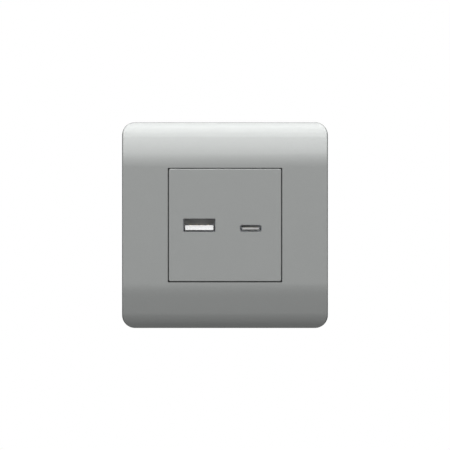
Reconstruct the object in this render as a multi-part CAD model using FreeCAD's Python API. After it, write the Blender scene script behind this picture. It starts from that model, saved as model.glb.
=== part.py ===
import FreeCAD, Part
import math
import os

from FreeCAD import Vector

# USB wall socket: a 45 mm charger module with one USB-A and one USB-C port, latched into a wall
# frame under a snap-on front plate. X runs right, Z up and Y into the wall. The origin is the
# centre of the plate in the wall's plane, so what shows in the room has negative Y.
# All sizes are in millimetres and all angles in degrees.

# How far a cut runs on past what it cuts, and how near an edge lies to count as on a face
cut_over = 1.0
edge_pick_margin = 0.001

# Front plate
plate_border = 18.3
plate_corner_radius = 5.2
plate_depth = 9.5
plate_wall = 2.2
plate_skirt_wall = 1.8
plate_wall_gap = 0.2
flat_band_margin = 0.25
shoulder_radius = 28.1
slope_start_angle = 12.0
slope_end_angle = 16.0
edge_roll_height = 6.2
edge_roll_radius = 10.5
plate_edge_fillet = 0.7
collar_wall = 1.2
window_corner_radius = 0.3
plate_rib_thickness = 1.2
plate_rib_places = (-18.0, 0.0, 18.0)
pry_notch_width = 12.0
pry_notch_depth = 1.3

# Plate hooks and their spring catches
hook_place_x = 17.0
hook_width = 6.0
hook_thickness = 1.4
hook_edge = 2.9
hook_nose = 0.8
hook_nose_height = 1.0
hook_end_gap = 0.5
catch_width = 6.0
catch_thickness = 0.4
catch_base_length = 5.0
catch_hook_gap = 0.25
catch_nose_gap = 0.1

# Mounting frame
frame_side_gap = 2.45
frame_end_gap = 4.45
frame_corner_radius = 4.0
frame_thickness = 2.4
frame_rim_depth = 0.6
frame_rim_width = 2.2
frame_rib_height = 1.1
frame_rib_thickness = 1.4
frame_notch_margin = 1.0
stake_size = 1.6
stake_height = 0.5
stake_gap = 0.05

# Wall fixing screws, M3.5
fixing_window_gap = 7.1
fixing_thread_radius = 1.75
fixing_neck_radius = 1.5
fixing_thread_length = 22.0
fixing_head_radius = 3.25
fixing_head_height = 2.2
fixing_head_chamfer = 0.7
fixing_slot_width = 4.2
fixing_slot_length = 7.0
fixing_thread_start = 0.3

# Module face and housing
module_size = 45.0
module_proud = 0.15
module_gap = 0.4
module_corner_radius = 0.6
module_edge_chamfer = 0.2
face_wall = 1.8
face_skirt_wall = 1.4
face_housing_gap = 0.1
housing_frame_gap = 0.3
housing_wall = 1.5
housing_rear_wall = 1.8
housing_corner_radius = 1.2
snap_width = 8.0
snap_length = 1.4
snap_proud = 0.9
snap_centre_y = -5.2
snap_window_gap = 0.2
latch_width = 8.0
latch_length = 13.0
latch_lead = 1.6
latch_nose_length = 4.0
latch_nose_land = 1.0
latch_nose_proud = 1.4
latch_nose_gap = 0.1
latch_slot = 0.8
vent_count = 7
vent_width = 1.4
vent_length = 8.0
vent_pitch = 4.0
vent_start_y = 14.0

# Circuit boards
board_thickness = 1.6
board_gap = 0.3
power_board_y = 9.4
board_post = 2.8
ledge_width = 1.2
ledge_height = 1.5
ledge_slack = 0.1
link_length = 10.0
link_height = 2.5

# Ports: place across, shell, cut-out and tongue
port_board_z = -2.9
port_recess = 0.6
port_lip_gap = 0.1
port_pocket_gap = 0.2
port_shell_wall = 0.3
port_side_gap = 2.65
usb_a_shell_width = 13.1
usb_a_shell_height = 5.72
usb_a_shell_depth = 14.0
usb_a_shell_radius = 0.5
usb_a_spring_width = 2.4
usb_a_spring_slot = 0.4
usb_a_spring_start = 2.5
usb_a_spring_end = 8.0
usb_a_cutout_width = 13.1
usb_a_cutout_height = 5.4
usb_a_tongue_side_gap = 0.6
usb_a_tongue_height = 1.9
usb_a_tongue_offset = 0.98
usb_a_tongue_recess = 0.8
usb_a_tongue_base = 4.6
usb_a_contact_width = 1.0
usb_a_contact_height = 0.3
usb_a_contact_length = 6.4
usb_a_contact_places = (-3.5, -1.0, 1.0, 3.5)
usb_c_shell_width = 8.94
usb_c_shell_height = 3.16
usb_c_shell_depth = 9.0
usb_c_shell_radius = 1.55
usb_c_cutout_width = 8.8
usb_c_cutout_height = 2.9
usb_c_cutout_radius = 0.95
usb_c_tongue_side_gap = 0.825
usb_c_tongue_height = 0.7
usb_c_tongue_recess = 0.5
usb_c_tongue_step = 1.6
usb_c_base_side_gap = 0.47
usb_c_base_height = 1.3
usb_c_tongue_base = 2.6
usb_c_contact_count = 12
usb_c_contact_margin = 0.595
usb_c_contact_width = 0.26
usb_c_contact_height = 0.06
usb_c_contact_length = 2.6

# Terminals
terminal_spacing = 17.0
cage_width = 7.4
cage_depth = 6.0
cage_side_wall = 1.1
cage_front_wall = 1.0
cage_rear_wall = 1.8
cage_travel = 3.0
cage_gap = 0.3
wire_space = 4.3
bar_width = 4.0
bar_thickness = 1.0
bar_leg_gap = 0.9
terminal_screw_radius = 1.5
terminal_screw_gap = 0.05
terminal_head_radius = 2.75
terminal_head_height = 1.7
terminal_head_gap = 0.1
driver_hole_radius = 2.3
driver_slot_width = 0.8
driver_slot_depth = 0.9
chamber_wall = 1.2
wire_funnel = 0.7

# Parts on the boards
core_edge_gap = 0.5
core_middle_gap = 1.7
core_length = 13.6
core_thickness = 6.0
core_legs_per_width = 3.4
core_yoke = 2.5
bobbin_wall = 0.7
bobbin_fit = 0.2
bobbin_flange = 0.8
bobbin_edge_gap = 0.3
bobbin_port_gap = 3.08
winding_flange_step = 0.5
winding_gap = 0.1
core_board_gap = 0.4
mains_capacitor_length = 15.0
mains_capacitor_lift = 6.9
mains_capacitor_edge_gap = 1.8
mains_capacitor_start = -0.8
mains_capacitor_space = 0.6
output_capacitor_radius = 3.15
output_capacitor_length = 8.0
output_capacitor_edge_gap = 3.05
output_capacitor_pitch = 8.0
output_capacitor_y = 1.0
choke_length = 8.0
choke_rim = 1.6
choke_groove = 0.6
choke_edge_gap = 0.3
choke_capacitor_gap = 0.5
disc_radius = 3.75
disc_thickness = 3.4
disc_lead_radius = 0.3
disc_lead_length = 1.5
varistor_board_gap = 1.25
safety_capacitor_depth = 7.5
safety_capacitor_inset = 0.4
safety_capacitor_edge_gap = 1.0
safety_capacitor_gap = 1.4
fuse_radius = 3.2
fuse_length = 7.5
fuse_edge_gap = 2.5
fuse_board_gap = 2.3
chip_height = 1.6
bridge_size = (6.5, 5.0)
bridge_edge_gap = 3.95
bridge_floor_gap = 4.7
power_chip_size = (6.0, 5.0)
power_chip_place = (0.0, 8.0)
rectifier_chip_size = (5.0, 4.0)
rectifier_chip_place = (0.0, 2.0)
port_chip_size = (5.0, 5.0)
port_chip_y = 4.2

# Sizes that follow from those above
window_size = module_size + 2 * module_gap
plate_size = window_size + 2 * plate_border
plate_half = plate_size / 2
flat_band_half = window_size / 2 + flat_band_margin
plate_front_y = -plate_depth
plate_back_y = -plate_wall_gap
fixing_centres = window_size + 2 * fixing_window_gap
frame_width = plate_size - 2 * plate_skirt_wall - 2 * frame_side_gap
frame_height = plate_size - 2 * plate_skirt_wall - 2 * frame_end_gap
hook_inner_z = frame_height / 2 - hook_edge
frame_back_y = -frame_rim_depth
frame_front_y = frame_back_y - frame_thickness
module_front_y = plate_front_y - module_proud
face_inner_y = module_front_y + face_wall
housing_size = module_size - 2 * face_skirt_wall - 2 * face_housing_gap
housing_half = housing_size / 2
housing_inner_half = housing_half - housing_wall
frame_opening = housing_size + 2 * housing_frame_gap
board_half = housing_inner_half - board_gap
board_size = 2 * board_half
power_board_back_y = power_board_y + board_thickness
port_front_y = module_front_y + port_recess
port_board_front_y = face_inner_y + board_gap
port_board_low_z = port_board_z - board_thickness
usb_a_x = usb_a_shell_width / 2 + port_side_gap - housing_inner_half
usb_c_x = -usb_a_x
usb_a_z = port_board_z + usb_a_shell_height / 2
usb_c_z = port_board_z + usb_c_shell_height / 2
usb_a_inner_width = usb_a_shell_width - 2 * port_shell_wall
usb_a_tongue_width = usb_a_inner_width - 2 * usb_a_tongue_side_gap
usb_c_inner_width = usb_c_shell_width - 2 * port_shell_wall
usb_c_tongue_width = usb_c_inner_width - 2 * usb_c_tongue_side_gap
usb_c_base_width = usb_c_inner_width - 2 * usb_c_base_side_gap
usb_c_contact_pitch = (usb_c_tongue_width - 2 * usb_c_contact_margin) / (usb_c_contact_count - 1)
cage_z = -housing_inner_half + cage_gap + cage_depth / 2
cage_front_y = power_board_back_y + cage_gap
bar_front_y = cage_front_y + cage_front_wall + wire_space
bar_back_y = bar_front_y + bar_thickness
cage_inner_back_y = bar_back_y + cage_gap
cage_back_y = cage_inner_back_y + cage_rear_wall
terminal_head_front_y = cage_back_y + cage_travel + cage_gap
terminal_head_back_y = terminal_head_front_y + terminal_head_height
housing_inner_y = terminal_head_back_y + terminal_head_gap
housing_back_y = housing_inner_y + housing_rear_wall

# Places on the boards, from the boards' ends
core_width = board_half - core_edge_gap - core_middle_gap
core_leg = core_width / core_legs_per_width
core_window_width = (core_width - 2 * core_leg) / 2
bobbin_flange_width = core_width - core_leg - 2 * bobbin_fit
bobbin_tube_width = core_leg + 2 * bobbin_fit + 2 * bobbin_wall
winding_build = (bobbin_flange_width - bobbin_tube_width) / 2 - winding_flange_step
transformer_x = core_edge_gap + core_width / 2 - board_half
bobbin_low_z = port_board_z + usb_a_shell_height + bobbin_port_gap
bobbin_high_z = board_half - bobbin_edge_gap
bobbin_reach = bobbin_high_z - bobbin_low_z
transformer_z = (bobbin_low_z + bobbin_high_z) / 2
mains_capacitor_end = board_half - mains_capacitor_edge_gap
mains_capacitor_radius = (mains_capacitor_end - mains_capacitor_start - mains_capacitor_space) / 4
mains_capacitor_z = port_board_z + mains_capacitor_lift + mains_capacitor_radius
mains_capacitor_top_z = mains_capacitor_z + mains_capacitor_radius
first_capacitor_x = mains_capacitor_start + mains_capacitor_radius
second_capacitor_x = mains_capacitor_end - mains_capacitor_radius
choke_room = board_half - choke_edge_gap - mains_capacitor_top_z - choke_capacitor_gap
choke_radius = choke_room / 2
choke_z = board_half - choke_edge_gap - choke_radius
first_output_x = output_capacitor_edge_gap + output_capacitor_radius - board_half
second_output_x = first_output_x + output_capacitor_pitch
fuse_x = board_half - fuse_edge_gap - fuse_radius
fuse_z = port_board_low_z - fuse_board_gap - fuse_radius
varistor_x = (second_output_x + output_capacitor_radius + fuse_x - fuse_radius) / 2
varistor_z = port_board_low_z - varistor_board_gap - disc_radius
nodes = {}


def block(x_low, x_high, y_low, y_high, z_low, z_high):
    corner = Vector(x_low, y_low, z_low)
    return Part.makeBox(x_high - x_low, y_high - y_low, z_high - z_low, corner)


def centred_block(x, width, y_low, y_high, z, height):
    return block(x - width / 2, x + width / 2, y_low, y_high, z - height / 2, z + height / 2)


def rounded_block(width, height, radius, y_low, y_high, x=0.0, z=0.0):
    """A block along Y whose four long edges are round."""
    body = centred_block(x, width, y_low, y_high, z, height)
    long_edges = [edge for edge in body.Edges if abs(edge.tangentAt(0).y) > 0.5]
    return body.makeFillet(radius, long_edges)


def rod_y(radius, y_low, y_high, x, z):
    return Part.makeCylinder(radius, y_high - y_low, Vector(x, y_low, z), Vector(0, 1, 0))


def slot_y(width, length, y_low, y_high, x, z):
    """A slot along Z with round ends, cut along Y."""
    straight = length - width
    ends = [rod_y(width / 2, y_low, y_high, x, z + side * straight / 2) for side in (-1, 1)]
    return centred_block(x, width, y_low, y_high, z, straight).fuse(ends)


def line(start, end):
    return Part.LineSegment(start, end).toShape()


def extrude_polygon(points, direction):
    """A solid from a closed outline of points, extruded half of direction each way."""
    wire = Part.makePolygon(points + [points[0]])
    wire.translate(direction * -0.5)
    return Part.Face(wire).extrude(direction)


def mirrored(shape, normal):
    return shape.mirror(Vector(0, 0, 0), normal)


def plate_form(inset):
    """The plate's side view along X: flat band, shoulder, slope and edge roll, moved in by inset."""
    start_angle = math.radians(slope_start_angle)
    end_angle = math.radians(slope_end_angle)
    slope_start_z = flat_band_half + shoulder_radius * math.sin(start_angle)
    slope_end_z = plate_half - edge_roll_height
    slope_radius = (slope_end_z - slope_start_z) / (math.sin(end_angle) - math.sin(start_angle))

    def outward(turn):
        return Vector(0, -math.cos(turn), math.sin(turn))

    shoulder_centre = Vector(0, plate_front_y + shoulder_radius, flat_band_half)
    slope_centre = shoulder_centre + outward(start_angle) * (shoulder_radius - slope_radius)
    roll_centre = slope_centre + outward(end_angle) * (slope_radius - edge_roll_radius)
    roll_end_angle = math.asin((plate_half - roll_centre.z) / edge_roll_radius)

    def on_arc(centre, radius, turn):
        return centre + outward(turn) * (radius - inset)

    band_end = on_arc(shoulder_centre, shoulder_radius, 0)
    shoulder_middle = on_arc(shoulder_centre, shoulder_radius, start_angle / 2)
    shoulder_end = on_arc(shoulder_centre, shoulder_radius, start_angle)
    slope_middle = on_arc(slope_centre, slope_radius, (start_angle + end_angle) / 2)
    roll_start = on_arc(roll_centre, edge_roll_radius, end_angle)
    roll_middle = on_arc(roll_centre, edge_roll_radius, (end_angle + roll_end_angle) / 2)
    roll_end = on_arc(roll_centre, edge_roll_radius, roll_end_angle)
    rim = Vector(0, plate_back_y, roll_end.z)
    upper = [
        Part.Arc(band_end, shoulder_middle, shoulder_end).toShape(),
        Part.Arc(shoulder_end, slope_middle, roll_start).toShape(),
        Part.Arc(roll_start, roll_middle, roll_end).toShape(),
        line(roll_end, rim),
    ]
    lower = [mirrored(edge, Vector(0, 0, 1)) for edge in upper]
    band = line(band_end, Vector(0, band_end.y, -band_end.z))
    back = line(rim, Vector(0, rim.y, -rim.z))
    wire = Part.Wire(Part.__sortEdges__(upper + lower + [band, back]))
    wire.translate(Vector(-plate_half, 0, 0))
    return Part.Face(wire).extrude(Vector(plate_size, 0, 0))


def plate_rim_edges(body):
    """The edges where the plate's front turns into its skirt, all the way round."""
    skirt = rounded_block(plate_size, plate_size, plate_corner_radius, 2 * plate_front_y, cut_over)
    found = []
    for edge in body.Edges:
        start = edge.valueAt(edge.FirstParameter)
        middle = edge.valueAt((edge.FirstParameter + edge.LastParameter) / 2)
        end = edge.valueAt(edge.LastParameter)
        on_skirt = Part.Vertex(middle).distToShape(skirt.Shells[0])[0] < edge_pick_margin
        along_y = abs(start.x - end.x) + abs(start.z - end.z) < edge_pick_margin
        at_wall = middle.y > plate_back_y - edge_pick_margin
        if on_skirt and not along_y and not at_wall:
            found.append(edge)
    return found


def make_front_plate():
    prism = rounded_block(plate_size, plate_size, plate_corner_radius, 2 * plate_front_y, plate_back_y)
    outer = plate_form(0).common(prism).removeSplitter()
    outer = outer.makeFillet(plate_edge_fillet, plate_rim_edges(outer))
    inner_size = plate_size - 2 * plate_skirt_wall
    inner_radius = plate_corner_radius - plate_skirt_wall
    hollow = rounded_block(inner_size, inner_size, inner_radius, 2 * plate_front_y, plate_back_y)
    shell = outer.cut(plate_form(plate_wall).common(hollow))

    collar_size = window_size + 2 * collar_wall
    collar_end_y = frame_front_y - cage_gap
    collar = centred_block(0, collar_size, plate_front_y, collar_end_y, 0, collar_size)
    inside = [collar]
    rib_end_y = frame_front_y - frame_rib_height - cage_gap
    for place in plate_rib_places:
        inside.append(centred_block(place, plate_rib_thickness, plate_front_y, rib_end_y, 0, plate_size))
    for place in plate_rib_places:
        if place != 0:
            inside.append(centred_block(0, plate_size, plate_front_y, rib_end_y, place, plate_rib_thickness))
    for side_x in (-1, 1):
        for side_z in (-1, 1):
            inside.append(plate_hook(side_x, side_z))
    body = shell.fuse([piece.common(outer) for piece in inside])
    window = rounded_block(window_size, window_size, window_corner_radius, 2 * plate_front_y, cut_over)
    notch = block(
        -pry_notch_width / 2,
        pry_notch_width / 2,
        plate_back_y - pry_notch_depth,
        cut_over,
        -plate_half - cut_over,
        -plate_half + plate_skirt_wall + cut_over,
    )
    return body.cut([window, notch]).removeSplitter()


def plate_hook(side_x, side_z):
    """A rigid hook inside the plate: an arm towards the wall with a nose that faces the middle."""
    end_y = plate_back_y - hook_end_gap
    nose_y = end_y - hook_nose_height
    outline = [
        Vector(0, plate_front_y, hook_inner_z),
        Vector(0, nose_y, hook_inner_z),
        Vector(0, nose_y, hook_inner_z - hook_nose),
        Vector(0, end_y, hook_inner_z - hook_nose / 4),
        Vector(0, end_y, hook_inner_z + hook_thickness),
        Vector(0, plate_front_y, hook_inner_z + hook_thickness),
    ]
    hook = extrude_polygon(outline, Vector(hook_width, 0, 0))
    hook.translate(Vector(side_x * hook_place_x, 0, 0))
    return hook if side_z > 0 else mirrored(hook, Vector(0, 0, 1))


def make_plate_catches():
    """Four bent strips of spring steel, each staked to the frame beside a hook."""
    nose_y = plate_back_y - hook_end_gap - hook_nose_height
    bump_z = hook_inner_z - catch_hook_gap
    bump_y = nose_y - catch_nose_gap - catch_thickness
    fold_z = hook_inner_z - hook_nose - catch_hook_gap - catch_thickness
    base_y = frame_front_y - catch_thickness
    base_z = fold_z - catch_base_length
    outline = [
        Vector(0, frame_front_y, base_z),
        Vector(0, base_y, base_z),
        Vector(0, base_y, fold_z + catch_thickness),
        Vector(0, bump_y, bump_z),
        Vector(0, bump_y + catch_thickness, bump_z),
        Vector(0, frame_front_y, fold_z),
    ]
    catch = extrude_polygon(outline, Vector(catch_width, 0, 0))
    stake_z = base_z + catch_base_length / 2
    hole_size = stake_size + 2 * stake_gap
    hole_low_y = base_y - cut_over
    catch = catch.cut(
        centred_block(0, hole_size, hole_low_y, frame_front_y + cut_over, stake_z, hole_size)
    )
    catches = []
    for side_x in (-1, 1):
        one = catch.copy()
        one.translate(Vector(side_x * hook_place_x, 0, 0))
        catches += [one, mirrored(one, Vector(0, 0, 1))]
    return Part.makeCompound(catches)


def make_mounting_frame():
    """The moulded frame: a flat sheet with a rim against the wall and a stiffening rib in front."""
    body = rounded_block(frame_width, frame_height, frame_corner_radius, frame_front_y, 0)
    rim_cut = rounded_block(
        frame_width - 2 * frame_rim_width,
        frame_height - 2 * frame_rim_width,
        frame_corner_radius - frame_rim_width,
        frame_back_y,
        cut_over,
    )
    opening = centred_block(0, frame_opening, 2 * frame_front_y, cut_over, 0, frame_opening)
    rib_front_y = frame_front_y - frame_rib_height
    rib = rounded_block(frame_width, frame_height, frame_corner_radius, rib_front_y, frame_front_y)
    rib_cut = rounded_block(
        frame_width - 2 * frame_rib_thickness,
        frame_height - 2 * frame_rib_thickness,
        frame_corner_radius - frame_rib_thickness,
        rib_front_y,
        frame_front_y,
    )
    body = body.cut([rim_cut, opening]).fuse(rib.cut(rib_cut))
    slots = []
    for side in (-1, 1):
        slot_x = side * fixing_centres / 2
        slots.append(
            slot_y(fixing_slot_width, fixing_slot_length, 2 * frame_front_y, cut_over, slot_x, 0)
        )
    notch_low_z = hook_inner_z - hook_nose - catch_hook_gap - catch_thickness
    notch_half = hook_width / 2 + frame_notch_margin
    stake_z = notch_low_z - catch_base_length / 2
    stake_front_y = frame_front_y - catch_thickness - stake_height
    notches = []
    stakes = []
    for side_x in (-1, 1):
        x = side_x * hook_place_x
        notch = block(
            x - notch_half, x + notch_half, 2 * frame_front_y, cut_over, notch_low_z, frame_height
        )
        stake = centred_block(x, stake_size, stake_front_y, frame_front_y, stake_z, stake_size)
        notches += [notch, mirrored(notch, Vector(0, 0, 1))]
        stakes += [stake, mirrored(stake, Vector(0, 0, 1))]
    return body.cut(slots + notches).fuse(stakes).removeSplitter()


def make_fixing_screws():
    """Two pan-head screws whose heads seat on the frame and whose threads stand out behind it."""
    head_y = frame_front_y - fixing_head_height
    tip_y = fixing_thread_start + fixing_thread_length
    screws = []
    for side in (-1, 1):
        x = side * fixing_centres / 2
        head = rod_y(fixing_head_radius, head_y, frame_front_y, x, 0)
        top = [edge for edge in head.Edges if abs(edge.CenterOfMass.y - head_y) < edge_pick_margin]
        head = head.makeChamfer(fixing_head_chamfer, top)
        neck = rod_y(fixing_neck_radius, frame_front_y, fixing_thread_start, x, 0)
        thread = rod_y(fixing_thread_radius, fixing_thread_start, tip_y, x, 0)
        slot_end_y = head_y + driver_slot_depth
        slot = centred_block(x, 2 * fixing_head_radius, head_y, slot_end_y, 0, driver_slot_width)
        screws.append(head.fuse([neck, thread]).cut(slot))
    return Part.makeCompound(screws)


def port_cutouts():
    """The two holes in the module's face, each with a wider pocket behind its lip for the shell."""
    lip_front_y = module_front_y - cut_over
    lip_back_y = port_front_y - port_lip_gap
    back_y = face_inner_y + cut_over
    pocket = 2 * port_pocket_gap
    return [
        rounded_block(
            usb_a_cutout_width,
            usb_a_cutout_height,
            usb_a_shell_radius,
            lip_front_y,
            back_y,
            usb_a_x,
            usb_a_z,
        ),
        centred_block(
            usb_a_x,
            usb_a_shell_width + pocket,
            lip_back_y,
            back_y,
            usb_a_z,
            usb_a_shell_height + pocket,
        ),
        rounded_block(
            usb_c_cutout_width,
            usb_c_cutout_height,
            usb_c_cutout_radius,
            lip_front_y,
            back_y,
            usb_c_x,
            usb_c_z,
        ),
        centred_block(
            usb_c_x,
            usb_c_shell_width + pocket,
            lip_back_y,
            back_y,
            usb_c_z,
            usb_c_shell_height + pocket,
        ),
    ]


def make_module_face():
    """The flush square face, a shallow cap that snaps over the front of the housing."""
    cap = rounded_block(module_size, module_size, module_corner_radius, module_front_y, frame_front_y)
    front_edges = [edge for edge in cap.Edges if edge.BoundBox.YMax < module_front_y + edge_pick_margin]
    cap = cap.makeChamfer(module_edge_chamfer, front_edges)
    inner_size = module_size - 2 * face_skirt_wall
    hollow = centred_block(0, inner_size, face_inner_y, cut_over, 0, inner_size)
    windows = []
    for side in (-1, 1):
        windows.append(
            centred_block(
                side * module_size / 2,
                4 * face_skirt_wall,
                snap_centre_y - snap_length / 2 - snap_window_gap,
                snap_centre_y + snap_length / 2 + snap_window_gap,
                0,
                snap_width + 2 * snap_window_gap,
            )
        )
    return cap.cut([hollow] + windows + port_cutouts())


def housing_snap(side):
    """A wedge on the housing's side that holds the face."""
    start_y = snap_centre_y - snap_length / 2
    end_y = snap_centre_y + snap_length / 2
    outline = [
        Vector(housing_half - housing_wall / 2, start_y, 0),
        Vector(housing_half, start_y, 0),
        Vector(housing_half + snap_proud, end_y, 0),
        Vector(housing_half - housing_wall / 2, end_y, 0),
    ]
    snap = extrude_polygon(outline, Vector(0, 0, snap_width))
    return snap if side > 0 else mirrored(snap, Vector(1, 0, 0))


def latch_cuts_and_nose():
    """The slot round the upper sprung latch, and the nose that catches behind the frame."""
    nose_y = frame_back_y + latch_nose_gap
    free_y = nose_y - latch_lead
    root_y = free_y + latch_length
    low_z = housing_inner_half - cut_over
    high_z = housing_half + cut_over
    half = latch_width / 2
    cuts = [block(-half, half, free_y - latch_slot, free_y, low_z, high_z)]
    for edge_x in (-half - latch_slot, half):
        cuts.append(
            block(edge_x, edge_x + latch_slot, free_y - latch_slot, root_y, low_z, high_z)
        )
    outline = [
        Vector(0, nose_y, housing_half - housing_wall / 2),
        Vector(0, nose_y, housing_half + latch_nose_proud),
        Vector(0, nose_y + latch_nose_land, housing_half + latch_nose_proud),
        Vector(0, nose_y + latch_nose_length, housing_half),
        Vector(0, nose_y + latch_nose_length, housing_half - housing_wall / 2),
    ]
    nose = extrude_polygon(outline, Vector(latch_width, 0, 0))
    return cuts, nose


def terminal_chamber(x):
    """Walls that guide one cage, standing on the rear wall and on the floor of the housing."""
    guide = cage_width / 2 + cage_gap
    roof_z = cage_z + cage_depth / 2 + cage_gap
    front_y = cage_front_y + cage_front_wall
    walls = [
        block(x + guide, x + guide + chamber_wall, front_y, housing_inner_y, -housing_inner_half, roof_z),
        block(x - guide - chamber_wall, x - guide, front_y, housing_inner_y, -housing_inner_half, roof_z),
        block(
            x - guide - chamber_wall,
            x + guide + chamber_wall,
            bar_back_y + cage_gap,
            housing_inner_y,
            roof_z,
            roof_z + chamber_wall,
        ),
    ]
    return walls


def terminal_places():
    return {"live": terminal_spacing / 2, "neutral": -terminal_spacing / 2}


def make_module_housing():
    """The deep box behind the face: latches, board ledges, terminal chambers, vents and entries."""
    box = rounded_block(housing_size, housing_size, housing_corner_radius, face_inner_y, housing_back_y)
    inner = 2 * housing_inner_half
    box = box.cut(centred_block(0, inner, face_inner_y, housing_inner_y, 0, inner))
    added = [housing_snap(side) for side in (-1, 1)]
    ledge_front_y = port_board_front_y
    ledge_back_y = power_board_y - board_gap
    low_z = port_board_low_z
    for side in (-1, 1):
        outer_x = side * housing_inner_half
        ledge_x = outer_x - side * ledge_width / 2
        for z in (low_z - ledge_height / 2, port_board_z + ledge_slack + ledge_height / 2):
            added.append(centred_block(ledge_x, ledge_width, ledge_front_y, ledge_back_y, z, ledge_height))
        for end in (-1, 1):
            post_z = end * (housing_inner_half - board_post / 2)
            post_x = side * (housing_inner_half - board_post / 2)
            added.append(
                centred_block(post_x, board_post, power_board_back_y, housing_inner_y, post_z, board_post)
            )
    cuts = []
    for x in terminal_places().values():
        added += terminal_chamber(x)
        hole_low_y = housing_inner_y - cut_over
        cuts.append(rod_y(driver_hole_radius, hole_low_y, housing_back_y + cut_over, x, cage_z))
        inner_half = cage_width / 2 - cage_side_wall
        cuts.append(
            block(
                x - inner_half - wire_funnel / 2,
                x + inner_half + wire_funnel / 2,
                cage_front_y + cage_front_wall - wire_funnel / 2,
                bar_front_y + wire_funnel / 2,
                -housing_half - cut_over,
                -housing_inner_half,
            )
        )
    latch_cuts, nose = latch_cuts_and_nose()
    for cut in latch_cuts:
        cuts += [cut, mirrored(cut, Vector(0, 0, 1))]
    noses = [nose, mirrored(nose, Vector(0, 0, 1))]
    for index in range(vent_count):
        x = (index - (vent_count - 1) / 2) * vent_pitch
        cuts.append(
            block(
                x - vent_width / 2,
                x + vent_width / 2,
                vent_start_y,
                vent_start_y + vent_length,
                housing_inner_half - cut_over,
                housing_half + cut_over,
            )
        )
    return box.fuse(added).cut(cuts).fuse(noses).removeSplitter()


def make_boards():
    """The upright power board, and the level port board that meets it."""
    power = centred_block(0, board_size, power_board_y, power_board_back_y, 0, board_size)
    port = block(
        -board_half, board_half, port_board_front_y, power_board_y, port_board_low_z, port_board_z
    )
    link = block(
        -link_length / 2,
        link_length / 2,
        power_board_y - link_height,
        power_board_y,
        port_board_z,
        port_board_z + link_height,
    )
    nodes["power_board"] = power
    nodes["port_board"] = port
    nodes["board_link"] = link


def make_usb_a():
    """The larger port: a folded shell round a tongue with four contacts on its upper side."""
    back_y = port_front_y + usb_a_shell_depth
    tube = rounded_block(
        usb_a_shell_width,
        usb_a_shell_height,
        usb_a_shell_radius,
        port_front_y,
        back_y,
        usb_a_x,
        usb_a_z,
    )
    inner_width = usb_a_inner_width
    inner_height = usb_a_shell_height - 2 * port_shell_wall
    inner_radius = usb_a_shell_radius - port_shell_wall
    hole = rounded_block(inner_width, inner_height, inner_radius, port_front_y, back_y, usb_a_x, usb_a_z)
    spring_gaps = []
    for side in (-1, 1):
        for edge in (-1, 1):
            x = usb_a_x + side * inner_width / 4 + edge * usb_a_spring_width / 2
            spring_gaps.append(
                centred_block(
                    x,
                    usb_a_spring_slot,
                    port_front_y + usb_a_spring_start,
                    port_front_y + usb_a_spring_end,
                    usb_a_z + usb_a_shell_height / 2,
                    usb_a_shell_height,
                )
            )
    nodes["usb_a_shell"] = tube.cut([hole] + spring_gaps)

    tongue_z = usb_a_z - usb_a_tongue_offset
    tongue_front_y = port_front_y + usb_a_tongue_recess
    base_front_y = back_y - usb_a_tongue_base
    tongue = rounded_block(
        usb_a_tongue_width,
        usb_a_tongue_height,
        port_shell_wall,
        tongue_front_y,
        base_front_y,
        usb_a_x,
        tongue_z,
    )
    base = rounded_block(
        inner_width, inner_height, inner_radius, base_front_y, back_y, usb_a_x, usb_a_z
    )
    contact_top_z = tongue_z + usb_a_tongue_height / 2
    contact_back_y = base_front_y
    contacts = []
    for place in usb_a_contact_places:
        contacts.append(
            block(
                usb_a_x + place - usb_a_contact_width / 2,
                usb_a_x + place + usb_a_contact_width / 2,
                contact_back_y - usb_a_contact_length,
                contact_back_y,
                contact_top_z - usb_a_contact_height / 2,
                contact_top_z + usb_a_contact_height / 2,
            )
        )
    nodes["usb_a_tongue"] = tongue.fuse(base).cut(contacts)
    nodes["usb_a_contacts"] = Part.makeCompound(contacts)


def make_usb_c():
    """The smaller port: a drawn shell with round sides, and a thin tongue with contacts both ways."""
    back_y = port_front_y + usb_c_shell_depth
    tube = rounded_block(
        usb_c_shell_width,
        usb_c_shell_height,
        usb_c_shell_radius,
        port_front_y,
        back_y,
        usb_c_x,
        usb_c_z,
    )
    inner_width = usb_c_inner_width
    inner_height = usb_c_shell_height - 2 * port_shell_wall
    inner_radius = usb_c_shell_radius - port_shell_wall
    hole = rounded_block(inner_width, inner_height, inner_radius, port_front_y, back_y, usb_c_x, usb_c_z)
    nodes["usb_c_shell"] = tube.cut(hole)

    tip_y = port_front_y + usb_c_tongue_recess
    step_y = tip_y + usb_c_tongue_step
    base_front_y = back_y - usb_c_tongue_base
    tip = rounded_block(
        usb_c_tongue_width,
        usb_c_tongue_height,
        usb_c_tongue_height / 3,
        tip_y,
        base_front_y,
        usb_c_x,
        usb_c_z,
    )
    root = rounded_block(
        usb_c_base_width,
        usb_c_base_height,
        usb_c_tongue_height / 3,
        step_y + usb_c_contact_length,
        base_front_y,
        usb_c_x,
        usb_c_z,
    )
    base = rounded_block(inner_width, inner_height, inner_radius, base_front_y, back_y, usb_c_x, usb_c_z)
    contacts = []
    for index in range(usb_c_contact_count):
        x = usb_c_x + (index - (usb_c_contact_count - 1) / 2) * usb_c_contact_pitch
        for side in (-1, 1):
            z = usb_c_z + side * (usb_c_tongue_height + usb_c_contact_height) / 2
            contacts.append(
                centred_block(
                    x, usb_c_contact_width, step_y, step_y + usb_c_contact_length, z, usb_c_contact_height
                )
            )
    nodes["usb_c_tongue"] = tip.fuse([root, base])
    nodes["usb_c_contacts"] = Part.makeCompound(contacts)


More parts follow.
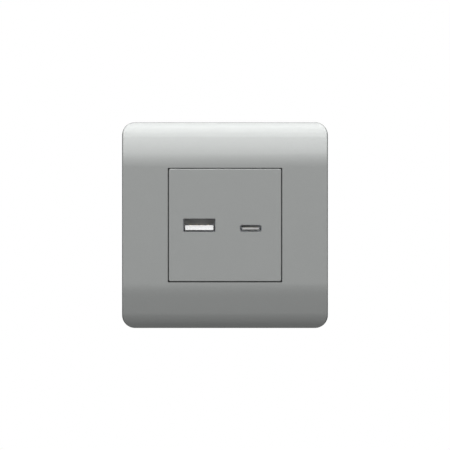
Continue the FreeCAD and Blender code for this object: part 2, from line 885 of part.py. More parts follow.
def make_terminal(name, x):
    """A rising-cage terminal: the screw turns in place and draws the cage towards its head."""
    half = cage_width / 2
    inner = half - cage_side_wall
    low_z = cage_z - cage_depth / 2
    high_z = cage_z + cage_depth / 2
    outer = block(x - half, x + half, cage_front_y, cage_back_y, low_z, high_z)
    space = block(
        x - inner, x + inner, cage_front_y + cage_front_wall, cage_inner_back_y, low_z, high_z
    )
    thread = rod_y(terminal_screw_radius + terminal_screw_gap, cage_inner_back_y, cage_back_y, x, cage_z)
    nodes["terminal_cage_" + name] = outer.cut([space, thread])

    leg_z = high_z + bar_leg_gap
    outline = [
        Vector(x, bar_front_y, low_z + cage_gap),
        Vector(x, bar_back_y, low_z + cage_gap),
        Vector(x, bar_back_y, leg_z + bar_thickness),
        Vector(x, power_board_back_y, leg_z + bar_thickness),
        Vector(x, power_board_back_y, leg_z),
        Vector(x, bar_front_y, leg_z),
    ]
    nodes["terminal_bar_" + name] = extrude_polygon(outline, Vector(bar_width, 0, 0))

    tip_y = bar_back_y + terminal_screw_gap
    shank = rod_y(terminal_screw_radius, tip_y, terminal_head_front_y, x, cage_z)
    head = rod_y(terminal_head_radius, terminal_head_front_y, terminal_head_back_y, x, cage_z)
    slot = centred_block(
        x,
        driver_slot_width,
        terminal_head_back_y - driver_slot_depth,
        terminal_head_back_y,
        cage_z,
        2 * terminal_head_radius,
    )
    nodes["terminal_screw_" + name] = shank.fuse(head).cut(slot)


def make_transformer():
    """A ferrite core with three legs, a flanged bobbin on the middle leg and its winding."""
    x = transformer_x
    z = transformer_z
    back_y = power_board_y - core_board_gap
    front_y = back_y - core_length
    window_front_y = front_y + core_yoke
    window_back_y = back_y - core_yoke
    core = centred_block(x, core_width, front_y, back_y, z, core_thickness)
    windows = [
        centred_block(
            x + side * (core_leg + core_window_width) / 2,
            core_window_width,
            window_front_y,
            window_back_y,
            z,
            core_thickness,
        )
        for side in (-1, 1)
    ]
    nodes["transformer_core"] = core.cut(windows)

    spool_front_y = window_front_y + winding_gap
    spool_back_y = window_back_y - winding_gap
    hole_width = core_leg + 2 * bobbin_fit
    hole_height = core_thickness + 2 * bobbin_fit
    tube_height = hole_height + 2 * bobbin_wall
    tube = centred_block(x, bobbin_tube_width, spool_front_y, spool_back_y, z, tube_height)
    flanges = [
        centred_block(x, bobbin_flange_width, low, low + bobbin_flange, z, bobbin_reach)
        for low in (spool_front_y, spool_back_y - bobbin_flange)
    ]
    feet = []
    for side in (-1, 1):
        foot_low = core_thickness / 2 + bobbin_fit
        foot = block(
            x - bobbin_flange_width / 2,
            x + bobbin_flange_width / 2,
            spool_back_y - bobbin_flange,
            power_board_y,
            z + foot_low,
            z + bobbin_reach / 2,
        )
        if side < 0:
            foot.translate(Vector(0, 0, -foot_low - bobbin_reach / 2))
        feet.append(foot)
    hole = centred_block(x, hole_width, spool_front_y, spool_back_y, z, hole_height)
    nodes["transformer_bobbin"] = tube.fuse(flanges + feet).cut(hole).removeSplitter()

    wound_front_y = spool_front_y + bobbin_flange + winding_gap
    wound_back_y = spool_back_y - bobbin_flange - winding_gap
    coil = rounded_block(
        bobbin_tube_width + 2 * winding_build,
        tube_height + 2 * winding_build,
        winding_build,
        wound_front_y,
        wound_back_y,
        x,
        z,
    )
    nodes["transformer_winding"] = coil.cut(
        centred_block(x, bobbin_tube_width, wound_front_y, wound_back_y, z, tube_height)
    )


def make_capacitors():
    front_y = power_board_y - mains_capacitor_length
    mains = [
        rod_y(mains_capacitor_radius, front_y, power_board_y, x, mains_capacitor_z)
        for x in (first_capacitor_x, second_capacitor_x)
    ]
    low_z = port_board_low_z - output_capacitor_length
    output = []
    for x in (first_output_x, second_output_x):
        foot = Vector(x, output_capacitor_y, low_z)
        output.append(Part.makeCylinder(output_capacitor_radius, output_capacitor_length, foot))
    nodes["mains_capacitors"] = Part.makeCompound(mains)
    nodes["output_capacitors"] = Part.makeCompound(output)


def disc_on_board(x, z):
    """A dipped disc that stands edge-on from the power board on two leads."""
    centre_y = power_board_y - disc_lead_length - disc_radius
    disc = Part.makeCylinder(
        disc_radius, disc_thickness, Vector(x - disc_thickness / 2, centre_y, z), Vector(1, 0, 0)
    )
    leads = [
        rod_y(disc_lead_radius, centre_y, power_board_y, x, z + side * disc_radius / 2)
        for side in (-1, 1)
    ]
    return disc.fuse(leads)


def make_board_parts():
    nodes["varistor"] = disc_on_board(varistor_x, varistor_z)

    nodes["safety_capacitor"] = block(
        first_capacitor_x - mains_capacitor_radius + safety_capacitor_inset,
        first_capacitor_x + mains_capacitor_radius - safety_capacitor_inset,
        power_board_y - safety_capacitor_depth,
        power_board_y,
        mains_capacitor_top_z + safety_capacitor_gap,
        board_half - safety_capacitor_edge_gap,
    )

    choke_x = second_capacitor_x
    choke_front_y = power_board_y - choke_length
    choke_waist_radius = choke_radius - choke_groove
    drum = rod_y(choke_radius, choke_front_y, power_board_y, choke_x, choke_z)
    groove = rod_y(choke_radius, choke_front_y + choke_rim, power_board_y - choke_rim, choke_x, choke_z)
    groove = groove.cut(rod_y(choke_waist_radius, choke_front_y, power_board_y, choke_x, choke_z))
    nodes["input_choke"] = drum.cut(groove)

    nodes["fuse"] = rod_y(fuse_radius, power_board_y - fuse_length, power_board_y, fuse_x, fuse_z)

    width, height = bridge_size
    nodes["bridge_rectifier"] = centred_block(
        bridge_edge_gap + width / 2 - board_half,
        width,
        power_board_y - chip_height,
        power_board_y,
        bridge_floor_gap + height / 2 - board_half,
        height,
    )
    for name, place, size in (
        ("power_chip", power_chip_place, power_chip_size),
        ("output_rectifier", rectifier_chip_place, rectifier_chip_size),
    ):
        x, z = place
        width, height = size
        nodes[name] = centred_block(
            x, width, power_board_back_y, power_board_back_y + chip_height, z, height
        )
    width, depth = port_chip_size
    nodes["port_controller"] = block(
        usb_c_x - width / 2,
        usb_c_x + width / 2,
        port_chip_y - depth / 2,
        port_chip_y + depth / 2,
        port_board_z,
        port_board_z + chip_height,
    )


def build():
    nodes["front_plate"] = make_front_plate()
    nodes["plate_catches"] = make_plate_catches()
    nodes["mounting_frame"] = make_mounting_frame()
    nodes["fixing_screws"] = make_fixing_screws()
    nodes["module_face"] = make_module_face()
    nodes["module_housing"] = make_module_housing()
    make_boards()
    make_usb_a()
    make_usb_c()
    for name, x in terminal_places().items():
        make_terminal(name, x)
    make_transformer()
    make_capacitors()
    make_board_parts()


build()
os.makedirs("parts", exist_ok=True)
for node_name, shape in nodes.items():
    shape.exportStep("parts/" + node_name + ".step")
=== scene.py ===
import math

import bmesh
import bpy
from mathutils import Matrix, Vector


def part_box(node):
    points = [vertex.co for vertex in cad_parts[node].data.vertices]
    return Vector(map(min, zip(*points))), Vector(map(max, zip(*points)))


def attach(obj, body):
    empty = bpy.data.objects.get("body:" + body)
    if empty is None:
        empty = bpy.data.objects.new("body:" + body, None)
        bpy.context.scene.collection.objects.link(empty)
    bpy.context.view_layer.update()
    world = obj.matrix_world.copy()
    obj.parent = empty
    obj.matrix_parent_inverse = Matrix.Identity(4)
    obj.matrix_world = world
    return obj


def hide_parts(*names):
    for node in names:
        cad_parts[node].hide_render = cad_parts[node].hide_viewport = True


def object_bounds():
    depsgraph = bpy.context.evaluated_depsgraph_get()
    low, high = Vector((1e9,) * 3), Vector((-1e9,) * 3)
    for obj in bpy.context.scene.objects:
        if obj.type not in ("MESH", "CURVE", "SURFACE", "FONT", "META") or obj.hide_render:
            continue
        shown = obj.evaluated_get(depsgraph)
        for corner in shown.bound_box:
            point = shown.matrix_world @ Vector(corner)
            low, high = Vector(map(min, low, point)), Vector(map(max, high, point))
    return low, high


# The studio picture of a silver USB wall socket, seen square from the front on white.
# All lengths are in metres, but for the camera's lens and sensor, which are in millimetres.

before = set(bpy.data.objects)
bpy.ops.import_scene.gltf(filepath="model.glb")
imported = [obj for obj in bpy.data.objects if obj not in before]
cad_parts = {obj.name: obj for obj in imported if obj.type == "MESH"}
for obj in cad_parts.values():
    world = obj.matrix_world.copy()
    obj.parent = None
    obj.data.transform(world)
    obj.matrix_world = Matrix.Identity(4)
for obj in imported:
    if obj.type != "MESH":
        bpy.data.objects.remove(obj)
cad_low, cad_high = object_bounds()

# The camera's framing, from the photograph: the plate is 206 of the image's 450 pixels wide, and its
# middle lies a tenth of a pixel below the image's.
IMAGE_PIXELS = 450
PLATE_PIXELS = 206.0
PLATE_DROP_PIXELS = 0.1
LENS = 1200.0
SENSOR = 36.0
NEAREST_SEEN = 0.01
FARTHEST_SEEN = 50.0

# The studio: long softboxes in an arc overhead, and weak strips low in front, with their powers
# in watts by their degrees above the horizon
SOFTBOX_POWERS = {35: 3.45, 45: 2.8, 65: 4.95, 85: 4.65, 97: 3.2, 115: 2.5, 150: 1.5}
SOFTBOX_DISTANCE = 1.0
SOFTBOX_SIZE = (1.6, 0.18)
LOW_STRIP_POWERS = {-38: 0.072, -65: 0.022}
LOW_STRIP_DROP = 0.19
LOW_STRIP_SIZE = (0.8, 0.08)
AMBIENT = 0.44
FLOOR_DROP = 0.2
FLOOR_WIDTH = 6.0
FLOOR_FRONT = -4.0
FLOOR_BACK = 1.4
FLOOR_LIT_LEVEL = 120
FLOOR_SEEN_LEVELS = (247, 251)
FLOOR_NOISE_SCALE = 40.0
FLOOR_ROUGHNESS = 0.9

# The silver paint of the plate and the module's face, with its red, green and blue levels
SILVER_LEVELS = (153, 155, 154)
SILVER_METALLIC = 0.4
SILVER_ROUGHNESS = 0.4
SILVER_ROUGHNESS_SPREAD = 0.03
SILVER_IOR = 1.5
FLECK_SCALE = 5200.0
FLECK_DARK = 0.965
FLECK_LIGHT = 1.035
FLECK_STRENGTH = 0.35

# Painted shade along the plate's edge, by how far the surface faces the front: 1 is straight, 0 is
# sideways.
# A painted dark line stands in for the edge's dark reflection. The side edges count as turned further
# than they are, so their painted line is wider.
SKIRT_END = 0.02
EDGE_SHADE_START = 0.10
EDGE_SHADE_END = 0.44
FULL_START = 0.49
EDGE_SHADE_SHARE = 0.05
SIDE_EDGE_SHARE = 0.62

# The fine marks of moulded and rolled surfaces. A grain along the depth is drawn out along Y.
NOISE_LOW = 0.3
NOISE_HIGH = 0.7
FINE_SCALE = 900.0
FINE_HEIGHT = 0.000004
FINE_DETAIL = 3.0
GRAIN_DETAIL = 4.0
MOULDED_GRAIN = 1600.0
MOULDED_HEIGHT = 0.00001
DIPPED_HEIGHT = 0.00003
MOULDED_STRENGTH = 0.5
CLOUD_SCALE = 60.0
CLOUD_DARK = 0.94
CLOUD_LIGHT = 1.06
GRAIN_DARK = 0.9
GRAIN_LIGHT = 1.06
GRAIN_STRENGTH = 0.4
MOULDED_ROUGHNESS_SPREAD = 0.06
METAL_SMOOTHER = 0.07
METAL_ROUGHER = 0.08
ALONG_THE_DEPTH = (1.0, 0.05, 1.0)

# The ports' shells: painted shade at their mouths, and painted light further in, brighter where their
# insides lie in shade
PORT_MOUTH_SHADE_LEVEL = 146
NICKEL_WARMTH = -3
USB_A_PAINTED_LIGHT_LEVEL = 192
USB_C_PAINTED_LIGHT_LEVEL = 236
PORT_RIM_DEPTH = 0.0004
PORT_LEVEL_SPREAD = 6
PORT_SMOOTHEST = 0.38
PORT_ROUGHEST = 0.5

# The USB-C tongue, with painted light at its root, which lies in shade
TONGUE_TIP_LEVEL = 197
TONGUE_ROOT_PAINTED_LIGHT_LEVEL = 253
TONGUE_ROOT_DEPTH = 0.004
TONGUE_LEVEL_SPREAD = 4
TONGUE_SMOOTHEST = 0.4
TONGUE_ROUGHEST = 0.5

# The screws' threads
FIXING_HEAD_RADIUS = 0.00325
FIXING_THREAD_START = 0.0003
FIXING_THREAD_RADIUS = 0.00175
FIXING_PITCH = 0.0006
TERMINAL_HEAD_HEIGHT = 0.0017
TERMINAL_THREAD_RADIUS = 0.0015
TERMINAL_PITCH = 0.0005
THREAD_DEPTH_SHARE = 0.6
THREAD_FLANK = 1.3
THREAD_SIDES = 28
THREAD_STEPS = 8
HEAD_IN_FRONT = -1
HEAD_BEHIND = 1
SHARP_ANGLE = math.radians(32)
JOIN_DISTANCE = 1e-7

# The colour sockets of a mix node, whose names are the same for its numbers and its vectors
MIX_FIRST = 6
MIX_SECOND = 7
MIX_RESULT = 2
WHITE = (1.0, 1.0, 1.0, 1.0)


def linear(level):
    """The linear value of an sRGB level from 0 to 255."""
    share = level / 255
    if share <= 0.04045:
        return share / 12.92
    return ((share + 0.055) / 1.055) ** 2.4


def grey(level, warmth=0.0):
    """A neutral colour of that sRGB level, a little warm if warmth is over 0."""
    return (linear(level + warmth), linear(level), linear(level - warmth), 1.0)


def colour(red, green, blue):
    """The linear colour of an sRGB triple."""
    return (linear(red), linear(green), linear(blue), 1.0)


class Finish:
    """A material built from nodes, with short calls for the links that most finishes share."""

    def __init__(self, name):
        self.material = bpy.data.materials.new(name)
        self.material.use_nodes = True
        self.tree = self.material.node_tree
        self.shader = self.tree.nodes["Principled BSDF"]

    def node(self, kind, **values):
        made = self.tree.nodes.new(kind)
        for key, value in values.items():
            setattr(made, key, value)
        return made

    def link(self, source, target):
        self.tree.links.new(source, target)

    def set(self, **sockets):
        for name, value in sockets.items():
            self.shader.inputs[name.replace("_", " ")].default_value = value

    def place(self):
        """The point on the object that is shaded, in metres."""
        return self.node("ShaderNodeTexCoord").outputs["Object"]

    def noise(self, scale, detail=2.0, stretch=None):
        source = self.place()
        if stretch:
            mapping = self.node("ShaderNodeMapping")
            mapping.inputs["Scale"].default_value = stretch
            self.link(source, mapping.inputs["Vector"])
            source = mapping.outputs["Vector"]
        texture = self.node("ShaderNodeTexNoise")
        texture.inputs["Scale"].default_value = scale
        texture.inputs["Detail"].default_value = detail
        self.link(source, texture.inputs["Vector"])
        return texture.outputs["Fac"]

    def ramp(self, source, low, high):
        """A colour that runs from low to high with the noise in source."""
        ramp = self.node("ShaderNodeValToRGB")
        ramp.color_ramp.elements[0].position = NOISE_LOW
        ramp.color_ramp.elements[0].color = low
        ramp.color_ramp.elements[1].position = NOISE_HIGH
        ramp.color_ramp.elements[1].color = high
        self.link(source, ramp.inputs["Fac"])
        return ramp.outputs["Color"]

    def level(self, source, low, high):
        """A plain number that runs from low to high with the noise in source."""
        spread = self.node("ShaderNodeMapRange")
        spread.inputs["From Min"].default_value = NOISE_LOW
        spread.inputs["From Max"].default_value = NOISE_HIGH
        spread.inputs["To Min"].default_value = low
        spread.inputs["To Max"].default_value = high
        self.link(source, spread.inputs["Value"])
        return spread.outputs["Result"]

    def edge_shade_share(self):
        """Painted shade on the edge: full brightness on the front and the skirt, a painted dark line
        between, where the edge turns away.
        """
        normal = self.node("ShaderNodeTexCoord").outputs["Normal"]
        parts = self.node("ShaderNodeSeparateXYZ")
        self.link(normal, parts.inputs[0])
        sideways = self.node("ShaderNodeMath", operation="ABSOLUTE")
        self.link(parts.outputs["X"], sideways.inputs[0])
        forward = self.node("ShaderNodeMath", operation="ABSOLUTE")
        self.link(parts.outputs["Y"], forward.inputs[0])
        turned = self.node("ShaderNodeMath", operation="MULTIPLY_ADD")
        self.link(sideways.outputs[0], turned.inputs[0])
        turned.inputs[1].default_value = -SIDE_EDGE_SHARE
        self.link(forward.outputs[0], turned.inputs[2])
        ramp = self.node("ShaderNodeValToRGB")
        stops = ramp.color_ramp.elements
        stops[0].position = SKIRT_END
        stops[0].color = WHITE
        stops[1].position = FULL_START
        stops[1].color = WHITE
        for position in (EDGE_SHADE_START, EDGE_SHADE_END):
            stop = stops.new(position)
            stop.color = (EDGE_SHADE_SHARE, EDGE_SHADE_SHARE, EDGE_SHADE_SHARE, 1.0)
        self.link(turned.outputs[0], ramp.inputs["Fac"])
        return ramp.outputs["Color"]

    def depth_share(self, start, length):
        """A level from 0 at start to 1 at length further into the wall."""
        parts = self.node("ShaderNodeSeparateXYZ")
        self.link(self.place(), parts.inputs[0])
        spread = self.node("ShaderNodeMapRange")
        spread.inputs["From Min"].default_value = start
        spread.inputs["From Max"].default_value = start + length
        self.link(parts.outputs["Y"], spread.inputs["Value"])
        return spread.outputs["Result"]

    def clear_from_behind(self):
        """Lets the surface be seen through from its back."""
        behind = self.node("ShaderNodeNewGeometry").outputs["Backfacing"]
        pick = self.node("ShaderNodeMixShader")
        self.link(behind, pick.inputs[0])
        self.link(self.shader.outputs[0], pick.inputs[1])
        self.link(self.node("ShaderNodeBsdfTransparent").outputs[0], pick.inputs[2])
        self.link(pick.outputs[0], self.tree.nodes["Material Output"].inputs["Surface"])

    def bump(self, source, height, strength=1.0):
        bump = self.node("ShaderNodeBump")
        bump.inputs["Distance"].default_value = height
        bump.inputs["Strength"].default_value = strength
        self.link(source, bump.inputs["Height"])
        self.link(bump.outputs["Normal"], self.shader.inputs["Normal"])


def tint(rgba, factor):
    """The colour made lighter or darker by factor."""
    return tuple(min(1.0, part * factor) for part in rgba[:3]) + (1.0,)


def silver_paint(name, shaded_edges):
    """Satin silver lacquer on plastic: a fine metallic fleck under a soft sheen."""
    made = Finish(name)
    base = colour(*SILVER_LEVELS)
    fleck = made.noise(FLECK_SCALE, FINE_DETAIL)
    paint = made.ramp(fleck, tint(base, FLECK_DARK), tint(base, FLECK_LIGHT))
    # Painted shade: a dark line where the plate's edge turns away, standing in for the dark reflection
    # there.
    if shaded_edges:
        edge_shade = made.node("ShaderNodeMix", data_type="RGBA", blend_type="MULTIPLY")
        edge_shade.inputs["Factor"].default_value = 1.0
        made.link(paint, edge_shade.inputs[MIX_FIRST])
        made.link(made.edge_shade_share(), edge_shade.inputs[MIX_SECOND])
        paint = edge_shade.outputs[MIX_RESULT]
    made.link(paint, made.shader.inputs["Base Color"])
    smoothest = SILVER_ROUGHNESS - SILVER_ROUGHNESS_SPREAD
    roughest = SILVER_ROUGHNESS + SILVER_ROUGHNESS_SPREAD
    made.link(made.level(made.noise(FINE_SCALE), smoothest, roughest), made.shader.inputs["Roughness"])
    made.bump(fleck, FINE_HEIGHT, FLECK_STRENGTH)
    made.set(Metallic=SILVER_METALLIC, IOR=SILVER_IOR)
    return made.material


def moulded(name, rgba, roughness, grain=MOULDED_GRAIN, height=MOULDED_HEIGHT):
    """Moulded plastic with the fine grain of a spark-eroded tool."""
    made = Finish(name)
    cloud = made.noise(CLOUD_SCALE)
    clouded = made.ramp(cloud, tint(rgba, CLOUD_DARK), tint(rgba, CLOUD_LIGHT))
    made.link(clouded, made.shader.inputs["Base Color"])
    texture = made.noise(grain, FINE_DETAIL)
    smoothest = roughness - MOULDED_ROUGHNESS_SPREAD
    roughest = roughness + MOULDED_ROUGHNESS_SPREAD
    made.link(made.level(texture, smoothest, roughest), made.shader.inputs["Roughness"])
    made.bump(texture, height, MOULDED_STRENGTH)
    return made.material


def metal(name, rgba, roughness, stretch=(1.0, 1.0, 1.0)):
    """Rolled or plated metal, its grain drawn out along the axis that stretch makes small."""
    made = Finish(name)
    grain = made.noise(FINE_SCALE, GRAIN_DETAIL, stretch)
    grained = made.ramp(grain, tint(rgba, GRAIN_DARK), tint(rgba, GRAIN_LIGHT))
    made.link(grained, made.shader.inputs["Base Color"])
    spread = made.level(grain, roughness - METAL_SMOOTHER, roughness + METAL_ROUGHER)
    made.link(spread, made.shader.inputs["Roughness"])
    made.bump(grain, FINE_HEIGHT, GRAIN_STRENGTH)
    made.set(Metallic=1.0)
    return made.material


def port_metal(node_name, painted_light_level):
    """Nickel-plated shell with painted shade at its mouth and painted light further in, brighter where
    its inside lies in shade.
    """
    made = Finish(node_name + "_nickel")
    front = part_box(node_name)[0][1]
    grain = made.noise(FINE_SCALE, GRAIN_DETAIL, ALONG_THE_DEPTH)
    # Painted light inside the shell and painted shade at its mouth, by depth from the front.
    deep = made.depth_share(front, PORT_RIM_DEPTH)
    darkest = grey(painted_light_level - PORT_LEVEL_SPREAD, NICKEL_WARMTH)
    lightest = grey(painted_light_level + PORT_LEVEL_SPREAD, NICKEL_WARMTH)
    painted_inside = made.ramp(grain, darkest, lightest)
    mixed = made.node("ShaderNodeMix", data_type="RGBA")
    made.link(deep, mixed.inputs["Factor"])
    mixed.inputs[MIX_FIRST].default_value = grey(PORT_MOUTH_SHADE_LEVEL, NICKEL_WARMTH)
    made.link(painted_inside, mixed.inputs[MIX_SECOND])
    made.link(mixed.outputs[MIX_RESULT], made.shader.inputs["Base Color"])
    made.link(made.level(grain, PORT_SMOOTHEST, PORT_ROUGHEST), made.shader.inputs["Roughness"])
    made.set(Metallic=1.0)
    return made.material


def tongue_plastic():
    """The USB-C tongue's light grey plastic, painted paler at its root than at its tip: painted light
    where the root lies in shade.
    """
    made = Finish("tongue_grey")
    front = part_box("usb_c_tongue")[0][1]
    deep = made.depth_share(front, TONGUE_ROOT_DEPTH)
    cloud = made.noise(FINE_SCALE)
    darkest = grey(TONGUE_TIP_LEVEL - TONGUE_LEVEL_SPREAD)
    lightest = grey(TONGUE_TIP_LEVEL + TONGUE_LEVEL_SPREAD)
    tip = made.ramp(cloud, darkest, lightest)
    mixed = made.node("ShaderNodeMix", data_type="RGBA")
    made.link(deep, mixed.inputs["Factor"])
    made.link(tip, mixed.inputs[MIX_FIRST])
    # Painted light at the tongue's shaded root.
    mixed.inputs[MIX_SECOND].default_value = grey(TONGUE_ROOT_PAINTED_LIGHT_LEVEL)
    made.link(mixed.outputs[MIX_RESULT], made.shader.inputs["Base Color"])
    made.link(made.level(cloud, TONGUE_SMOOTHEST, TONGUE_ROUGHEST), made.shader.inputs["Roughness"])
    made.bump(cloud, FINE_HEIGHT, MOULDED_STRENGTH)
    return made.material


def dress_nodes():
    """Gives each CAD node its finish: its colour, its roughness and its own grain."""
    steel = metal("zinc_steel", colour(190, 192, 196), roughness=0.32)
    board = moulded(
        "board_lacquer", colour(34, 96, 56), roughness=0.35, grain=2400.0, height=FINE_HEIGHT
    )
    white = moulded("white_nylon", colour(251, 251, 250), roughness=0.45)
    chip = moulded("chip_epoxy", colour(34, 34, 36), roughness=0.6, grain=3000.0)
    brass = metal("bar_brass", colour(214, 176, 98), roughness=0.28)
    gold = metal("contact_gold", colour(216, 202, 170), roughness=0.25, stretch=ALONG_THE_DEPTH)
    finishes = {
        "front_plate": silver_paint("plate_silver", True),
        "module_face": silver_paint("face_silver", False),
        "mounting_frame": moulded("frame_plastic", colour(116, 118, 120), roughness=0.55),
        "module_housing": moulded("housing_plastic", colour(54, 54, 56), roughness=0.5),
        "fixing_screws": steel,
        "terminal_screw_live": steel,
        "terminal_screw_neutral": steel,
        "terminal_cage_live": steel,
        "terminal_cage_neutral": steel,
        "plate_catches": metal("spring_steel", colour(150, 152, 156), roughness=0.25),
        "usb_a_shell": port_metal("usb_a_shell", USB_A_PAINTED_LIGHT_LEVEL),
        "usb_c_shell": port_metal("usb_c_shell", USB_C_PAINTED_LIGHT_LEVEL),
        "usb_a_tongue": white,
        "board_link": white,
        "transformer_bobbin": white,
        "usb_c_tongue": tongue_plastic(),
        "usb_a_contacts": gold,
        "usb_c_contacts": gold,
        "terminal_bar_live": brass,
        "terminal_bar_neutral": brass,
        "power_board": board,
        "port_board": board,
        "transformer_core": moulded("ferrite", colour(54, 54, 57), roughness=0.65, grain=1200.0),
        "input_choke": moulded("ferrite_drum", colour(60, 60, 62), roughness=0.6, grain=1200.0),
        "transformer_winding": moulded(
            "winding_tape", colour(226, 190, 60), roughness=0.3, grain=700.0
        ),
        "mains_capacitors": moulded("capacitor_sleeve", colour(44, 52, 92), roughness=0.3),
        "output_capacitors": metal("capacitor_can", colour(196, 198, 201), roughness=0.3),
        "bridge_rectifier": chip,
        "power_chip": chip,
        "output_rectifier": chip,
        "port_controller": chip,
        "fuse": moulded("fuse_case", colour(96, 58, 38), roughness=0.4),
        "varistor": moulded(
            "varistor_dip", colour(52, 92, 158), roughness=0.3, grain=500.0, height=DIPPED_HEIGHT
        ),
        "safety_capacitor": moulded("film_capacitor", colour(222, 184, 66), roughness=0.35),
    }
    for name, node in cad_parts.items():
        node.data.materials.clear()
        node.data.materials.append(finishes[name])


def thread_rings(centre, start, end, radius, pitch):
    """Rings of points round a right-hand thread along Y, tapered in at both ends."""
    depth = THREAD_DEPTH_SHARE * pitch
    root = radius - depth
    count = round((end - start) / pitch * THREAD_STEPS)
    rings = []
    for step in range(count + 1):
        y = start + (end - start) * step / count
        taper = root + min(y - start, end - y)
        ring = []
        for side in range(THREAD_SIDES):
            angle = 2 * math.pi * side / THREAD_SIDES
            phase = ((y - start) / pitch - side / THREAD_SIDES) % 1.0
            flank = min(1.0, THREAD_FLANK * abs(2 * phase - 1))
            reach = min(root + depth * flank, taper)
            x = centre.x + reach * math.sin(angle)
            z = centre.z + reach * math.cos(angle)
            ring.append(Vector((x, y, z)))
        rings.append(ring)
    return rings


def add_thread(built, centre, start, end, radius, pitch):
    """Adds a closed threaded rod to the mesh being built."""
    rings = []
    for points in thread_rings(centre, start, end, radius, pitch):
        rings.append([built.verts.new(point) for point in points])
    for near, far in zip(rings, rings[1:]):
        for side in range(THREAD_SIDES):
            after = (side + 1) % THREAD_SIDES
            built.faces.new((near[side], far[side], far[after], near[after]))
    built.faces.new(rings[0])
    built.faces.new(list(reversed(rings[-1])))


def copied_mesh(node_name):
    """The node's mesh to work on, with the points that its faces share joined."""
    built = bmesh.new()
    built.from_mesh(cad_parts[node_name].data)
    bmesh.ops.remove_doubles(built, verts=built.verts, dist=JOIN_DISTANCE)
    return built


def place_piece(built, name, node_name, body):
    """Makes the built mesh the piece that stands for the node, smooth but for its sharp edges."""
    bmesh.ops.recalc_face_normals(built, faces=built.faces)
    for face in built.faces:
        face.smooth = True
    for edge in built.edges:
        edge.smooth = edge.calc_face_angle(math.pi) < SHARP_ANGLE
    mesh = bpy.data.meshes.new(name)
    built.to_mesh(mesh)
    built.free()
    piece = bpy.data.objects.new(name, mesh)
    bpy.context.scene.collection.objects.link(piece)
    even = piece.modifiers.new("even_shading", "WEIGHTED_NORMAL")
    even.keep_sharp = True
    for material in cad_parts[node_name].data.materials:
        mesh.materials.append(material)
    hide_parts(node_name)
    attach(piece, body)


def smooth_plate():
    """The plate with one even shading across the seams between its curved faces."""
    place_piece(
        copied_mesh("front_plate"), "front_plate_smooth", "front_plate", "front_plate"
    )


def threaded_screw(node_name, body, centres, start, end, head_side, radius, pitch):
    """The node's screws with their shanks from start to end cut as real threads."""
    built = copied_mesh(node_name)
    cut_y = start if head_side == HEAD_IN_FRONT else end
    everything = built.verts[:] + built.edges[:] + built.faces[:]
    bmesh.ops.bisect_plane(
        built,
        geom=everything,
        plane_co=(0.0, cut_y, 0.0),
        plane_no=(0.0, -head_side, 0.0),
        clear_outer=True,
    )
    bmesh.ops.holes_fill(built, edges=[edge for edge in built.edges if edge.is_boundary], sides=0)
    for centre in centres:
        add_thread(built, centre, start, end, radius, pitch)
    place_piece(built, node_name + "_threaded", node_name, body)


def make_threads():
    """Real threads on the two fixing screws and the two terminal screws."""
    low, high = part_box("fixing_screws")
    middle_z = (low.z + high.z) / 2
    centres = [
        Vector((low.x + FIXING_HEAD_RADIUS, 0.0, middle_z)),
        Vector((high.x - FIXING_HEAD_RADIUS, 0.0, middle_z)),
    ]
    threaded_screw(
        "fixing_screws",
        "module",
        centres,
        start=FIXING_THREAD_START,
        end=high.y,
        head_side=HEAD_IN_FRONT,
        radius=FIXING_THREAD_RADIUS,
        pitch=FIXING_PITCH,
    )
    for pole in ("live", "neutral"):
        name = "terminal_screw_" + pole
        low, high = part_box(name)
        threaded_screw(
            name,
            pole + "_screw",
            [(low + high) / 2],
            start=low.y,
            end=high.y - TERMINAL_HEAD_HEIGHT,
            head_side=HEAD_BEHIND,
            radius=TERMINAL_THREAD_RADIUS,
            pitch=TERMINAL_PITCH,
        )


def aim(thing, target):
    """Turns a camera or a light to face the target."""
    thing.rotation_euler = (target - thing.location).to_track_quat("-Z", "Y").to_euler()


def make_camera():
    """A long lens straight in front of the plate, so that the plate has its width in the photograph."""
    plate_low, plate_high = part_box("front_plate")
    plate_width = plate_high[0] - plate_low[0]
    view_width = plate_width * IMAGE_PIXELS / PLATE_PIXELS
    data = bpy.data.cameras.new("camera")
    data.lens = LENS
    data.sensor_width = SENSOR
    data.clip_start = NEAREST_SEEN
    data.clip_end = FARTHEST_SEEN
    camera = bpy.data.objects.new("camera", data)
    rise = view_width * PLATE_DROP_PIXELS / IMAGE_PIXELS
    camera.location = (0.0, plate_low[1] - view_width * LENS / SENSOR, rise)
    aim(camera, Vector((0.0, 0.0, rise)))
    bpy.context.scene.collection.objects.link(camera)
    bpy.context.scene.camera = camera


def area_light(name, place, size, power):
    """A soft light that shines from its place on the middle of the socket."""
    data = bpy.data.lights.new(name, "AREA")
    data.shape = "RECTANGLE"
    data.size, data.size_y = size
    data.energy = power
    light = bpy.data.objects.new(name, data)
    light.location = place
    aim(light, Vector((0.0, 0.0, 0.0)))
    bpy.context.scene.collection.objects.link(light)
    return light


def on_arc(rise, distance):
    """The place at that many degrees up from the horizon in front of the socket, past 90 behind it."""
    angle = math.radians(rise)
    return distance * Vector((0.0, -math.cos(angle), math.sin(angle)))


def make_lights():
    """Softboxes in an arc over the socket from its front to its back, and weak strips low in front."""
    for rise, power in SOFTBOX_POWERS.items():
        area_light("softbox_%d" % rise, on_arc(rise, SOFTBOX_DISTANCE), SOFTBOX_SIZE, power)
    for rise, power in LOW_STRIP_POWERS.items():
        distance = LOW_STRIP_DROP / -math.sin(math.radians(rise))
        strip = area_light("low_strip_%d" % -rise, on_arc(rise, distance), LOW_STRIP_SIZE, power)
        strip.visible_camera = False


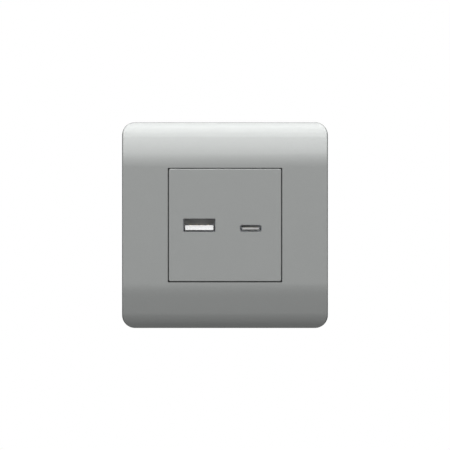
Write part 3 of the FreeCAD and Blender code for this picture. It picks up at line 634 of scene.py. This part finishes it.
def make_world():
    """White where it is seen, also in a reflection or through glass, and a weak fill elsewhere."""
    world = bpy.data.worlds.new("studio")
    world.use_nodes = True
    bpy.context.scene.world = world
    nodes, links = world.node_tree.nodes, world.node_tree.links
    shader = nodes["Background"]
    path = nodes.new("ShaderNodeLightPath")
    seen = nodes.new("ShaderNodeMath")
    seen.operation = "MAXIMUM"
    links.new(path.outputs["Is Camera Ray"], seen.inputs[0])
    links.new(path.outputs["Is Glossy Ray"], seen.inputs[1])
    through = nodes.new("ShaderNodeMath")
    through.operation = "MAXIMUM"
    links.new(seen.outputs[0], through.inputs[0])
    links.new(path.outputs["Is Transmission Ray"], through.inputs[1])
    strength = nodes.new("ShaderNodeMapRange")
    strength.inputs["To Min"].default_value = AMBIENT
    strength.inputs["To Max"].default_value = 1.0
    links.new(through.outputs[0], strength.inputs["Value"])
    links.new(strength.outputs["Result"], shader.inputs["Strength"])
    shader.inputs["Color"].default_value = WHITE


def make_floor():
    """The pale studio floor, well under the socket and out of the front view."""
    half = FLOOR_WIDTH / 2
    height = cad_low[2] - FLOOR_DROP
    mesh = bpy.data.meshes.new("floor")
    corners = [
        (-half, FLOOR_FRONT, height),
        (half, FLOOR_FRONT, height),
        (half, FLOOR_BACK, height),
        (-half, FLOOR_BACK, height),
    ]
    mesh.from_pydata(corners, [], [(0, 1, 2, 3)])
    floor = bpy.data.objects.new("floor", mesh)
    bpy.context.scene.collection.objects.link(floor)
    made = Finish("floor_paper")
    seen = made.node("ShaderNodeLightPath").outputs["Is Camera Ray"]
    pick = made.node("ShaderNodeMix", data_type="RGBA")
    made.link(seen, pick.inputs["Factor"])
    pick.inputs[MIX_FIRST].default_value = grey(FLOOR_LIT_LEVEL)
    darkest, lightest = FLOOR_SEEN_LEVELS
    paper = made.ramp(made.noise(FLOOR_NOISE_SCALE), grey(darkest), grey(lightest))
    made.link(paper, pick.inputs[MIX_SECOND])
    made.link(pick.outputs[MIX_RESULT], made.shader.inputs["Base Color"])
    made.set(Roughness=FLOOR_ROUGHNESS)
    made.clear_from_behind()
    floor.data.materials.append(made.material)


bpy.context.scene.view_settings.view_transform = "Standard"
make_camera()
make_lights()
make_world()
make_floor()
dress_nodes()
smooth_plate()
make_threads()
